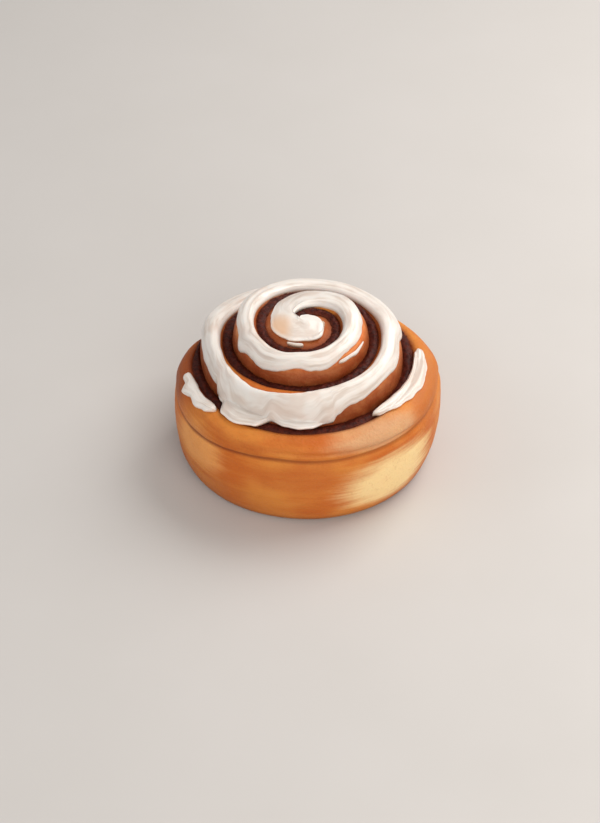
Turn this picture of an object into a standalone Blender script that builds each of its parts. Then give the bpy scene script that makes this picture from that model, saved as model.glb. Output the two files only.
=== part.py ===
"""Iced cinnamon roll: one strip of dough wound round a cinnamon filling, with sugar icing on top.

The roll stands on its cut face, with X to the right, Y to the back and Z up. Sizes are in
millimetres and are scaled to metres as the meshes are made. A place along the wound strip is its
turn number, counted outwards from the middle and clockwise from above; whole turns lie at the left.
A place across the strip is a share of its width, from 0 at the inner side to 1 at the outer side.
"""
import math

import bmesh
import bpy

MM = 0.001

# The whole roll: round in front and flatter at the back, with a dome that dips at the back
ROLL_RADIUS = 52.0
ROLL_WAVES = ((0.45, 4.0, -1.0), (0.27, 3.0, 2.1))
BACK_FLATTENING = 10.0
DOME_TOP = 59.3
DOME_POWERS = (3.0, 2.9)
SHOULDER = 33.8
BACK_DIP = 3.5
BACK_DIP_Y = (10.0, 34.0)

# The line of filling: a spiral whose centre drifts towards the back
FIRST_ANGLE = math.radians(178.0)
FIRST_TURN = 0.07
LAST_TURN = 3.05
FIRST_RADIUS = 3.6
PITCH = 14.5
PITCH_LOSS = 0.37
CENTRE = (-0.2, -4.1)
CENTRE_DRIFT = (0.5, 1.85)
TANGENT_STEP = 0.004

# The slot between turns of dough, and the crown of each turn, which rises above the slot
INNER_SLOT = 3.0
OUTER_SLOT = 3.8
SLOT_TAPER = 0.07
SLOT_TURNS = (0.3, 2.0)
END_SLOT = 0.4
END_SLOT_TURNS = 0.08
TIP_STEPS = (0.0, 0.3, 0.6, 1.0)
CROWN_RISE = 2.3
OUTSIDE_CROWN_RISE = 1.5
CROWN_SHARE = 0.30
CROWN_FULL_TURN = 1.45
CROWN_FADE_Y = (2.0, 18.0)
CROWN_WAVES = ((0.25, 9.0, 1.0), (0.20, 23.0, 0.0))

# Height and inset of the outside wall, from the floor up to the crease under the shoulder
WALL = ((0.0, 6.2), (0.8, 4.7), (4.0, 2.9), (10.0, 1.1), (19.0, 0.0), (27.0, 0.3), (31.5, 1.0), (33.4, 2.3))
CREASE_LIP = 1.1
SHOULDER_INSET = 1.5
FULL_INSET_WIDTH = 14.0
BACK_SHOULDER_DIP = 8.0
BACK_SHOULDER_Y = (-2.0, 28.0)
LEFT_SHOULDER_DIP = 4.5
LEFT_SHOULDER_TURNS = (3.78, 3.93)
JOIN_TURNS = 0.30
TAIL_TURNS = 0.035
TAIL_END_SHARE = 0.15
TAIL_STEPS = (0.8, 0.6, 0.4, 0.22, 0.1, 0.03, 0.0)

# The filling, which stays clear of the dough by the gap, and its bead: share across and height
GAP = 0.3
FILLING_FLOOR = 0.5
FILLING_START = 0.55
FILLING_END = 3.03
BEAD = ((0.0, 0.5), (0.2, 1.1), (0.5, 1.4), (0.8, 1.2), (1.0, 0.6))

# The icing: its thickness, its lean over the faces of the dough and its level above the filling
ICING = 2.1
FLECK = 0.9
ICING_LEAN = math.radians(48.0)
ICING_RIM = 0.45
ICING_VALLEY = 2.0
VALLEY_TURNS = (0.2, 0.6)
CORE_TURNS = (0.07, 0.35)
CLOSING_TURNS = (1.10, 1.35)
DAB_END = 0.2

# Turn number, inner edge and outer edge of the icing, with its drips
SWIRL_EDGES = (
    (0.07, 0.00, 0.20), (0.20, 0.00, 0.42), (0.30, 0.00, 0.60), (0.45, 0.00, 0.72), (0.56, 0.00, 0.80),
    (0.66, 0.00, 0.86), (0.76, 0.00, 0.78), (0.85, 0.00, 0.82), (0.94, 0.00, 0.86), (1.02, 0.00, 0.84),
    (1.12, 0.00, 0.88), (1.25, 0.01, 0.94), (1.36, 0.04, 0.90), (1.45, 0.07, 0.74), (1.58, 0.08, 0.72),
    (1.64, 0.12, 0.70), (1.70, 0.18, 0.86), (1.735, 0.18, 0.84),
    (1.77, 0.14, 0.75), (1.82, 0.24, 0.88), (1.86, 0.22, 0.92), (1.90, 0.16, 0.86), (1.935, 0.14, 0.93),
    (1.96, 0.12, 0.76), (2.05, 0.08, 0.74), (2.20, 0.06, 0.80), (2.40, 0.06, 0.84), (2.48, 0.10, 0.92),
    (2.52, 0.10, 0.76), (2.56, 0.14, 0.86), (2.62, 0.22, 0.82), (2.68, 0.18, 0.89), (2.70, 0.19, 0.95),
    (2.72, 0.20, 1.06), (2.745, 0.26, 1.34), (2.76, 0.34, 1.40), (2.78, 0.42, 1.28), (2.803, 0.48, 1.02),
    (2.82, 0.50, 1.72), (2.845, 0.52, 2.00), (2.865, 0.44, 1.86), (2.885, 0.38, 1.22), (2.91, 0.32, 0.92),
    (2.96, 0.14, 0.90), (3.00, 0.08, 0.86), (3.05, 0.06, 0.86), (3.15, 0.10, 0.82), (3.24, 0.14, 0.76),
    (3.28, 0.28, 0.60),
)
RIGHT_DAB_EDGES = (
    (3.487, 0.12, 0.24), (3.500, 0.02, 0.38), (3.525, -0.02, 0.52), (3.555, -0.06, 0.55),
    (3.580, -0.11, 0.48), (3.605, -0.17, 0.34), (3.630, -0.17, 0.14), (3.650, -0.09, -0.01),
)
LEFT_DAB_EDGES = (
    (3.880, 0.16, 0.40), (3.892, 0.10, 0.58), (3.907, 0.16, 0.68), (3.922, 0.14, 0.60), (3.938, 0.06, 0.80),
    (3.947, 0.08, 0.52), (3.956, 0.12, 0.54), (3.963, 0.18, 0.36),
)
CORE_FLECK_EDGES = ((0.760, 0.93, 0.96), (0.780, 0.90, 0.97), (0.820, 0.91, 0.97), (0.840, 0.93, 0.96))
RIGHT_STREAK_EDGES = ((1.560, 0.86, 0.88), (1.590, 0.84, 0.89), (1.640, 0.81, 0.86), (1.665, 0.81, 0.83))
DABS = (
    ("icing_dab_right", RIGHT_DAB_EDGES, ICING),
    ("icing_dab_left", LEFT_DAB_EDGES, ICING),
    ("icing_fleck", CORE_FLECK_EDGES, FLECK),
    ("icing_streak", RIGHT_STREAK_EDGES, FLECK),
)

# Colours, and the fineness of the meshes
DOUGH_COLOUR = (0.56, 0.22, 0.06)
FILLING_COLOUR = (0.055, 0.016, 0.010)
ICING_COLOUR = (0.80, 0.73, 0.68)
DOUGH_ROUGHNESS = 0.62
FILLING_ROUGHNESS = 0.35
ICING_ROUGHNESS = 0.35
SMOOTH_ANGLE = math.radians(50.0)
SLICE_SAG = 0.06
INNER_STEPS = 3
OUTER_STEPS = 5
ICING_STEPS = 8
MERGE = 0.002


def smooth(value, low, high):
    """Eases from 0 at low to 1 at high."""
    share = min(1.0, max(0.0, (value - low) / (high - low)))
    return share * share * (3.0 - 2.0 * share)


def mix(first, second, share):
    """Point or number that lies a share of the way from first to second."""
    if isinstance(first, tuple):
        return tuple(a + (b - a) * share for a, b in zip(first, second))
    return first + (second - first) * share


def waves(table, value):
    """Sum of sine waves, each with its height, its frequency and its phase."""
    return sum(height * math.sin(frequency * value + phase) for height, frequency, phase in table)


def filling_point(turn):
    """Plan position of the filling's centre line."""
    turn = max(turn, FIRST_TURN)
    angle = FIRST_ANGLE - 2.0 * math.pi * turn
    radius = FIRST_RADIUS + PITCH * turn - PITCH_LOSS * turn * turn
    return (CENTRE[0] + CENTRE_DRIFT[0] * turn + radius * math.cos(angle),
            CENTRE[1] + CENTRE_DRIFT[1] * turn + radius * math.sin(angle))


def beside_filling(turn, offset):
    """Plan position beside the filling's centre line, with outwards positive."""
    x, y = filling_point(turn)
    ahead = filling_point(turn + TANGENT_STEP)
    behind = filling_point(turn - TANGENT_STEP)
    length = math.dist(ahead, behind)
    return (x - (ahead[1] - behind[1]) / length * offset, y + (ahead[0] - behind[0]) / length * offset)


def slot_sides(turn):
    """Offsets of the slot's two sides, which start together in the middle and close at the tail."""
    width = mix(INNER_SLOT, OUTER_SLOT, smooth(turn, *SLOT_TURNS))
    half = 0.5 * mix(width, END_SLOT, smooth(turn, LAST_TURN - END_SLOT_TURNS, LAST_TURN))
    return -half, mix(-half, half, smooth(turn, FIRST_TURN, FIRST_TURN + SLOT_TAPER))


def outside_point(turn):
    """Plan position of the widest part of the outside wall."""
    angle = FIRST_ANGLE - 2.0 * math.pi * turn
    radius = ROLL_RADIUS + waves(ROLL_WAVES, angle) - BACK_FLATTENING * max(0.0, math.sin(angle))
    return (radius * math.cos(angle), radius * math.sin(angle))


def mouth_height(point):
    """Height of the slot's mouth between two turns of dough, lower towards the outside and the back."""
    share = min(1.0, math.hypot(*point) / ROLL_RADIUS)
    dome = (DOME_TOP - SHOULDER) * (1.0 - share ** DOME_POWERS[0]) ** DOME_POWERS[1]
    return SHOULDER + dome - BACK_DIP * smooth(point[1], *BACK_DIP_Y)


class Slice:
    """Upright cross-section of the dough strip at one turn number."""

    def __init__(self, turn):
        self.turn = turn
        self.place_sides()
        self.place_heights()

    def place_sides(self):
        """Sets the plan positions of the inner and outer side, and the width between them."""
        turn = self.turn
        slot_within = max(turn - 1.0, FIRST_TURN)
        self.inner = beside_filling(slot_within, slot_sides(slot_within)[1])
        wrapped = beside_filling(turn, slot_sides(turn)[0])
        self.free = smooth(turn, LAST_TURN, LAST_TURN + JOIN_TURNS)
        self.outer = mix(wrapped, outside_point(turn), self.free)
        tail = (LAST_TURN + 1.0 - turn) / TAIL_TURNS
        if tail < 1.0:
            rounding = math.sqrt(max(0.0, 1.0 - (1.0 - tail) ** 2))
            self.outer = mix(self.inner, self.outer, mix(TAIL_END_SHARE, 1.0, rounding))
        self.width = math.dist(self.inner, self.outer)
        self.inset = self.free * min(1.0, self.width / FULL_INSET_WIDTH)

    def place_heights(self):
        """Sets the heights of the two sides and of the crown between them."""
        turn = self.turn
        opened = smooth(turn, 1.0 + FIRST_TURN, CROWN_FULL_TURN)
        rise = mix(CROWN_RISE, OUTSIDE_CROWN_RISE, self.free) + waves(CROWN_WAVES, turn)
        rise *= opened * (1.0 - smooth(self.inner[1], *CROWN_FADE_Y))
        self.crown_share = CROWN_SHARE * opened
        self.inner_top = mouth_height(filling_point(turn - 1.0))
        self.crown = self.inner_top + rise
        crease = WALL[-1][0]
        left_dip = LEFT_SHOULDER_DIP * smooth(turn, *LEFT_SHOULDER_TURNS)
        dip = mix(left_dip, BACK_SHOULDER_DIP, smooth(self.outer[1], *BACK_SHOULDER_Y))
        self.wall_scale = 1.0 - dip / crease
        wrapped_top = mouth_height(filling_point(min(turn, LAST_TURN)))
        self.outer_top = mix(wrapped_top, self.wall_scale * (crease + CREASE_LIP), self.free)

    def across(self, distance):
        """Plan position at a distance from the inner side."""
        if self.width < MERGE:
            return self.inner
        return mix(self.inner, self.outer, distance / self.width)

    def top(self, share):
        """Distance from the inner side and height of the top at a share of the width."""
        reach = self.width - SHOULDER_INSET * self.inset
        if share < self.crown_share:
            before = 1.0 - share / self.crown_share
            return reach * share, mix(self.inner_top, self.crown, math.sqrt(1.0 - before * before))
        past = (share - self.crown_share) / (1.0 - self.crown_share)
        return reach * share, mix(self.outer_top, self.crown, math.sqrt(max(0.0, 1.0 - past * past)))

    def share_at(self, step):
        """Share of the width at a step over the top; steps are alike in angle, with 0 at the crown."""
        if step < 0.0:
            return self.crown_share * (1.0 - math.cos(0.5 * math.pi * max(0.0, 1.0 + step / INNER_STEPS)))
        return mix(self.crown_share, 1.0, math.sin(0.5 * math.pi * min(1.0, step / OUTER_STEPS)))

    def step_at(self, share):
        """Step over the top at a share of the width, which goes on past both sides."""
        if share < 0.0:
            return INNER_STEPS * (share / self.crown_share - 1.0)
        if share < self.crown_share:
            return INNER_STEPS * (math.acos(1.0 - share / self.crown_share) * 2.0 / math.pi - 1.0)
        past = (share - self.crown_share) / (1.0 - self.crown_share)
        return OUTER_STEPS * (math.asin(min(1.0, past)) * 2.0 / math.pi + max(0.0, past - 1.0))

    def loop(self):
        """Corners of the cross-section, from the floor at the inner side over the top and down."""
        points = [(0.0, 0.0), (0.0, self.inner_top)]
        for step in range(1 - INNER_STEPS, OUTER_STEPS + 1):
            points.append(self.top(self.share_at(step)))
        for height, inset in reversed(WALL):
            points.append((self.width - inset * self.inset, height * self.wall_scale * (self.free > 0.0)))
        return [(*self.across(distance), height) for distance, height in points]


def turn_numbers(start, end):
    """Turn numbers from start to end, so close that the flats between them stay near the curve."""
    numbers = [start]
    while numbers[-1] < end:
        radius = FIRST_RADIUS + PITCH * min(numbers[-1], LAST_TURN)
        numbers.append(numbers[-1] + math.sqrt(8.0 * SLICE_SAG / radius) / (2.0 * math.pi))
    shrink = (end - start) / (numbers[-1] - start)
    return [start + (number - start) * shrink for number in numbers]


def dough_numbers():
    """Turn numbers of the dough's cross-sections, close at both sides of the slot's tip and at the tail."""
    slot_tip = [FIRST_TURN + SLOT_TAPER * share for share in TIP_STEPS]
    beside_tip = [1.0 + turn for turn in slot_tip]
    first_turn = turn_numbers(slot_tip[-1], beside_tip[0])[1:-1]
    other_turns = turn_numbers(beside_tip[-1], LAST_TURN)[1:]
    outside = turn_numbers(LAST_TURN, LAST_TURN + 1.0 - TAIL_TURNS)[1:]
    tail = [LAST_TURN + 1.0 - TAIL_TURNS * share for share in TAIL_STEPS]
    return slot_tip + first_turn + beside_tip + other_turns + outside + tail


def filling_loops():
    """Cross-sections of the filling: a sheet in the slot with a rounded bead along its top."""
    loops = []
    start = FIRST_TURN + FILLING_START * SLOT_TAPER
    full_width = FIRST_TURN + SLOT_TAPER
    for turn in turn_numbers(start, full_width) + turn_numbers(full_width, FILLING_END)[1:]:
        inner, outer = slot_sides(turn)
        sides = (inner + GAP, outer - GAP)
        mouth = mouth_height(filling_point(turn))
        loop = [(*beside_filling(turn, sides[0]), FILLING_FLOOR)]
        loop += [(*beside_filling(turn, mix(*sides, share)), mouth + lift) for share, lift in BEAD]
        loop.append((*beside_filling(turn, sides[1]), FILLING_FLOOR))
        loops.append(loop)
    return loops


def edge_shares(edges, turn):
    """Inner and outer edge of a piece of icing at one turn number, eased between its named places."""
    for (low, *first), (high, *second) in zip(edges, edges[1:]):
        if turn <= high:
            return mix(tuple(first), tuple(second), smooth(turn, low, high))
    return edges[-1][1:]


def icing_floor(piece, step):
    """Distance and height of the icing's underside: on the dough, and level over the filling beside it."""
    distance, height = piece.top(piece.share_at(step))
    distance += max(0.0, step / OUTER_STEPS - 1.0) * (1.0 - piece.crown_share) * piece.width
    distance += min(0.0, step / INNER_STEPS + 1.0) * piece.crown_share * piece.width
    if piece.free == 1.0:
        height = max(height, piece.inner_top + ICING_VALLEY * smooth(-step, 0.0, INNER_STEPS))
    if piece.free == 0.0 and step > 0.5 * OUTER_STEPS:
        height = max(height, piece.outer_top + ICING_VALLEY * smooth(piece.turn, *VALLEY_TURNS))
    return distance, height + GAP


def icing_loop(turn, edges, thickness, inner_rim, outer_rim):
    """One cross-section of icing, rounded down at its rims by a share of the whole rounding."""
    piece = Slice(turn)
    inner, outer = (piece.step_at(share) for share in edge_shares(edges, turn))
    loop = []
    for share in (step / ICING_STEPS for step in range(ICING_STEPS + 1)):
        rim = inner_rim if share < 0.5 else outer_rim
        thick = thickness * (1.0 - (1.0 - ICING_RIM) * rim * abs(2.0 * share - 1.0) ** 3)
        lean = ICING_LEAN * outer_rim * share
        distance, height = icing_floor(piece, mix(inner, outer, share))
        loop.append((*piece.across(distance + thick * math.sin(lean)), height + thick * math.cos(lean)))
    for step in [outer, *range(OUTER_STEPS, -INNER_STEPS - 1, -1), inner]:
        distance, height = icing_floor(piece, min(outer, max(inner, step)))
        loop.append((*piece.across(distance), height))
    return loop


def swirl_loops():
    """Cross-sections of the icing that runs along the strip from the middle of the roll."""
    loops = []
    for turn in dough_numbers():
        if turn <= SWIRL_EDGES[-1][0]:
            inner_rim = smooth(turn, *CLOSING_TURNS)
            outer_rim = smooth(turn, *CORE_TURNS)
            loops.append(icing_loop(turn, SWIRL_EDGES, ICING, inner_rim, outer_rim))
    return loops


def dab_loops(edges, middle_thickness):
    """Cross-sections of a separate dab of icing, thinner at both ends."""
    start, end = edges[0][0], edges[-1][0]
    loops = []
    for turn in turn_numbers(start, end):
        from_end = min(turn - start, end - turn) / (end - start)
        thickness = middle_thickness * mix(ICING_RIM, 1.0, min(1.0, from_end / DAB_END))
        loops.append(icing_loop(turn, edges, thickness, 1.0, 1.0))
    return loops


def food_material(name, colour, roughness):
    """Plain material of one piece."""
    material = bpy.data.materials.new(name)
    material.use_nodes = True
    shader = material.node_tree.nodes["Principled BSDF"]
    shader.inputs["Base Color"].default_value = (*colour, 1.0)
    shader.inputs["Roughness"].default_value = roughness
    shader.inputs["Metallic"].default_value = 0.0
    return material


def solid_from_loops(name, loops, middle, colour, roughness):
    """Joins loops of corners into one closed body, moved so that middle is over the origin."""
    mesh = bmesh.new()
    rings = []
    for loop in loops:
        corners = [((x - middle[0]) * MM, (y - middle[1]) * MM, z * MM) for x, y, z in loop]
        rings.append([mesh.verts.new(corner) for corner in corners])
    count = len(rings[0])
    for ring, following in zip(rings, rings[1:]):
        for index in range(count):
            after = (index + 1) % count
            mesh.faces.new((ring[index], ring[after], following[after], following[index]))
    mesh.faces.new(rings[0])
    mesh.faces.new(list(reversed(rings[-1])))
    bmesh.ops.remove_doubles(mesh, verts=mesh.verts, dist=MERGE * MM)
    bmesh.ops.dissolve_degenerate(mesh, edges=mesh.edges, dist=MERGE * MM)
    bmesh.ops.triangulate(mesh, faces=mesh.faces)
    bmesh.ops.recalc_face_normals(mesh, faces=mesh.faces)
    data = bpy.data.meshes.new(name)
    mesh.to_mesh(data)
    mesh.free()
    data.shade_smooth()
    data.set_sharp_from_angle(angle=SMOOTH_ANGLE)
    data.materials.append(food_material(name, colour, roughness))
    bpy.context.scene.collection.objects.link(bpy.data.objects.new(name, data))


def middle_of(loops):
    """Middle of the plan box round loops of corners."""
    corners = [corner for loop in loops for corner in loop]
    return [0.5 * (min(corner[axis] for corner in corners) + max(corner[axis] for corner in corners))
            for axis in (0, 1)]


for old in list(bpy.data.objects):
    bpy.data.objects.remove(old, do_unlink=True)

dough = [Slice(turn).loop() for turn in dough_numbers()]
roll_middle = middle_of(dough)
solid_from_loops("dough", dough, roll_middle, DOUGH_COLOUR, DOUGH_ROUGHNESS)
solid_from_loops("filling", filling_loops(), roll_middle, FILLING_COLOUR, FILLING_ROUGHNESS)
solid_from_loops("icing_swirl", swirl_loops(), roll_middle, ICING_COLOUR, ICING_ROUGHNESS)
for dab, edges, thickness in DABS:
    solid_from_loops(dab, dab_loops(edges, thickness), roll_middle, ICING_COLOUR, ICING_ROUGHNESS)
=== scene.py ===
import math

import bmesh
import bpy
import numpy as np
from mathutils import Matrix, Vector


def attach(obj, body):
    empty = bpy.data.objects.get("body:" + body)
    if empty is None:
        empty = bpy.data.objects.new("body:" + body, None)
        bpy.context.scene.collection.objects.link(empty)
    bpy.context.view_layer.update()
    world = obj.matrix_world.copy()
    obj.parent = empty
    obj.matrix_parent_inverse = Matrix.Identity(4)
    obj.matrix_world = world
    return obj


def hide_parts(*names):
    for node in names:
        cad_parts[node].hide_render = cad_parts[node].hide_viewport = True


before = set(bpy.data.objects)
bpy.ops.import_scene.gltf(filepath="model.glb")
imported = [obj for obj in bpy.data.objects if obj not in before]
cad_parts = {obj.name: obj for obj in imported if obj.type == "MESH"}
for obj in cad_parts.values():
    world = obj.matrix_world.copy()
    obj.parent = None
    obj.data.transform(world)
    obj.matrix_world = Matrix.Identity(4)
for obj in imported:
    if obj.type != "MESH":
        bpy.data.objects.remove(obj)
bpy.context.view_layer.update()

# Dough: one strip of soft yeast dough, rolled up round its filling and baked standing on its cut
# face. Its wall is golden and paler low on the right, where it stood against its neighbour in the pan.
# A painted highlight lies over that and on the right shoulder, painted light on the left of the wall,
# and painted shade at the front, low on the left and on both shoulders. The faces of the turns are
# redder and darker where the cinnamon has soaked in.

# Sizes are in millimetres, places along the strip in turns, clockwise with whole turns at the left
MM = 0.001
FULL_TURN = 2.0 * math.pi
STRIP_SIZES = {
    "Roll radius": 52.0, "Back flattening": 10.0, "Dome top": 59.3, "Shoulder": 33.8, "Back dip": 3.5,
    "First turn": 0.07, "Last turn": 3.05, "First radius": 3.6, "Pitch": 14.5, "Pitch loss": 0.37,
    "Inner slot": 3.0, "Outer slot": 3.8, "End slot": 0.4, "End slot turns": 0.08, "Slot taper": 0.07,
    "Crown rise": 2.3, "Outside crown rise": 1.5, "Crown share": 0.30, "Shoulder inset": 1.5,
    "Wall crease": 33.4, "Crease lip": 1.1, "Back shoulder dip": 8.0, "Left shoulder dip": 4.5,
    "Tail turns": 0.035,
}
FIRST_ANGLE = math.radians(178.0)
CENTRE = (-0.2, -4.1)
CENTRE_DRIFT = (0.5, 1.85)
TANGENT_STEP = 0.004
MERGE = 0.0005
# The least width or share that anything is divided by
LEAST = 0.001
# Waves of the outline and of the crown: height, frequency and phase
ROLL_WAVES = ((0.45, 4.0, -1.0), (0.27, 3.0, 2.1))
CROWN_WAVES = ((0.25, 9.0, 1.0), (0.20, 23.0, 0.0))
CROWN_FULL_TURN = 1.45
CROWN_FADE_Y = (2.0, 18.0)
DOME_POWERS = (3.0, 2.9)
BACK_DIP_Y = (10.0, 34.0)
BACK_SHOULDER_Y = (-2.0, 28.0)
LEFT_SHOULDER_TURNS = (3.78, 3.93)
SLOT_TURNS = (0.3, 2.0)
JOIN_TURNS = 0.30
FULL_INSET_WIDTH = 14.0
RIM_TURNS = (3.1, 4.04)
RIM_POINTS = 4000


class Field:
    """A number that a node tree works out for each point, written with plain arithmetic."""

    def __init__(self, socket):
        self.socket = socket

    def math(self, operation, *others):
        node = self.socket.id_data.nodes.new("ShaderNodeMath")
        node.operation = operation
        for slot, value in zip(node.inputs, (self, *others)):
            plug(value, slot)
        return Field(node.outputs[0])

    def __add__(self, other):
        return self.math("ADD", other)

    def __mul__(self, other):
        return self.math("MULTIPLY", other)

    def __sub__(self, other):
        return self.math("SUBTRACT", other)

    def __rsub__(self, other):
        return self * -1.0 + other

    def __truediv__(self, other):
        return self.math("DIVIDE", other)

    def __pow__(self, other):
        return self.math("POWER", other)

    __radd__ = __add__
    __rmul__ = __mul__


def plug(value, slot):
    """Gives a node's input a field or a fixed value."""
    if isinstance(value, Field):
        slot.id_data.links.new(value.socket, slot)
    else:
        slot.default_value = value


def either(operation, plain, *values):
    """One operation on fields, by a math node, or on plain numbers."""
    if isinstance(values[0], Field):
        return values[0].math(operation, *values[1:])
    return plain(*values)


def sine(value):
    return either("SINE", np.sin, value)


def cosine(value):
    return either("COSINE", np.cos, value)


def at_least(value, low):
    return either("MAXIMUM", np.maximum, value, low)


def at_most(value, high):
    return either("MINIMUM", np.minimum, value, high)


def root(value):
    return either("SQRT", np.sqrt, at_least(value, 0.0))


def size_of(value):
    return either("ABSOLUTE", np.abs, value)


def clip(value):
    return at_most(at_least(value, 0.0), 1.0)


def mix(first, second, share):
    return first + (second - first) * share


def ease(value, low, high):
    """Eases from 0 at low to 1 at high."""
    share = clip((value - low) / (high - low))
    return share * share * (3.0 - 2.0 * share)


def rounded(value):
    """Rises from 0 to 1 as a quarter of a circle does."""
    short = 1.0 - clip(value)
    return root(1.0 - short * short)


def waves(table, value):
    return sum(sine(value * frequency + phase) * height for height, frequency, phase in table)


class Strip:
    """Upright cross-sections of the dough strip by turn number, in plain numbers or in fields."""

    def __init__(self, size, turn):
        self.size = size
        self.turn = turn
        last = size["Last turn"]
        before = turn - 1.0
        self.inner = self.beside(at_least(before, size["First turn"]), self.slot_sides(before)[1])
        wrapped = self.beside(turn, self.slot_sides(turn)[0])
        angle = FIRST_ANGLE - turn * FULL_TURN
        flattened = at_least(sine(angle), 0.0) * size["Back flattening"]
        radius = size["Roll radius"] + waves(ROLL_WAVES, angle) - flattened
        outside = (radius * cosine(angle), radius * sine(angle))
        self.free = ease(turn, last, last + JOIN_TURNS)
        tail = rounded((last + 1.0 - turn) / size["Tail turns"])
        self.outer = [mix(start, mix(wound, out, self.free), tail)
                      for start, wound, out in zip(self.inner, wrapped, outside)]
        run = [out - start for start, out in zip(self.inner, self.outer)]
        self.width = at_least(root(run[0] * run[0] + run[1] * run[1]), LEAST)
        self.direction = [length / self.width for length in run]
        self.inset = self.free * at_most(self.width / FULL_INSET_WIDTH, 1.0)
        self.opened = ease(turn, size["First turn"] + 1.0, CROWN_FULL_TURN)
        rise = mix(size["Crown rise"], size["Outside crown rise"], self.free) + waves(CROWN_WAVES, turn)
        self.crown_share = at_least(self.opened * size["Crown share"], LEAST)
        self.inner_top = self.mouth(self.spiral(before))
        self.crown = self.inner_top + rise * self.opened * (1.0 - ease(self.inner[1], *CROWN_FADE_Y))
        left_dip = ease(turn, *LEFT_SHOULDER_TURNS) * size["Left shoulder dip"]
        dip = mix(left_dip, size["Back shoulder dip"], ease(self.outer[1], *BACK_SHOULDER_Y))
        self.wall_scale = 1.0 - dip / size["Wall crease"]
        wall_top = self.wall_scale * (size["Wall crease"] + size["Crease lip"])
        self.outer_top = mix(self.mouth(self.spiral(at_most(turn, last))), wall_top, self.free)

    def spiral(self, turn):
        """Plan position of the filling's centre line."""
        turn = at_least(turn, self.size["First turn"])
        angle = FIRST_ANGLE - turn * FULL_TURN
        grown = self.size["First radius"] + turn * self.size["Pitch"]
        radius = grown - turn * turn * self.size["Pitch loss"]
        return (turn * CENTRE_DRIFT[0] + CENTRE[0] + radius * cosine(angle),
                turn * CENTRE_DRIFT[1] + CENTRE[1] + radius * sine(angle))

    def beside(self, turn, offset):
        """Plan position beside the filling's centre line, with outwards positive."""
        here, ahead, behind = (self.spiral(turn + step) for step in (0.0, TANGENT_STEP, -TANGENT_STEP))
        run = (ahead[0] - behind[0], ahead[1] - behind[1])
        length = root(run[0] * run[0] + run[1] * run[1])
        return (here[0] - run[1] / length * offset, here[1] + run[0] / length * offset)

    def slot_sides(self, turn):
        """Offsets of the slot's two sides, which start together in the middle and close at the tail."""
        first, last = self.size["First turn"], self.size["Last turn"]
        width = mix(self.size["Inner slot"], self.size["Outer slot"], ease(turn, *SLOT_TURNS))
        half = mix(width, self.size["End slot"], ease(turn, last - self.size["End slot turns"], last)) * 0.5
        return half * -1.0, half * (ease(turn, first, first + self.size["Slot taper"]) * 2.0 - 1.0)

    def mouth(self, point):
        """Height of the slot's mouth, lower towards the outside and the back."""
        share = at_most(root(point[0] * point[0] + point[1] * point[1]) / self.size["Roll radius"], 1.0)
        dome = (1.0 - share ** DOME_POWERS[0]) ** DOME_POWERS[1]
        back_dip = ease(point[1], *BACK_DIP_Y) * self.size["Back dip"]
        return mix(self.size["Shoulder"], self.size["Dome top"], dome) - back_dip

    def top(self, share):
        """Distance from the inner side and height of the top at a share of the width."""
        before = clip(1.0 - share / self.crown_share)
        past = clip((share - self.crown_share) / (1.0 - self.crown_share))
        height = (self.crown - (self.crown - self.inner_top) * (1.0 - root(1.0 - before * before))
                  - (self.crown - self.outer_top) * (1.0 - root(1.0 - past * past)))
        return (self.width - self.inset * self.size["Shoulder inset"]) * share, height

    def place(self, distance, height):
        """Position in the frame, in metres, at a distance from the inner side and a height."""
        return [(self.inner[0] + self.direction[0] * distance - ROLL_MIDDLE[0]) * MM,
                (self.inner[1] + self.direction[1] * distance - ROLL_MIDDLE[1]) * MM,
                height * MM]


# The frame's origin is the middle of the roll's outline
rim = np.array(Strip(STRIP_SIZES, np.linspace(*RIM_TURNS, RIM_POINTS)).outer)
ROLL_MIDDLE = 0.5 * (rim.min(axis=1) + rim.max(axis=1))


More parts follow.
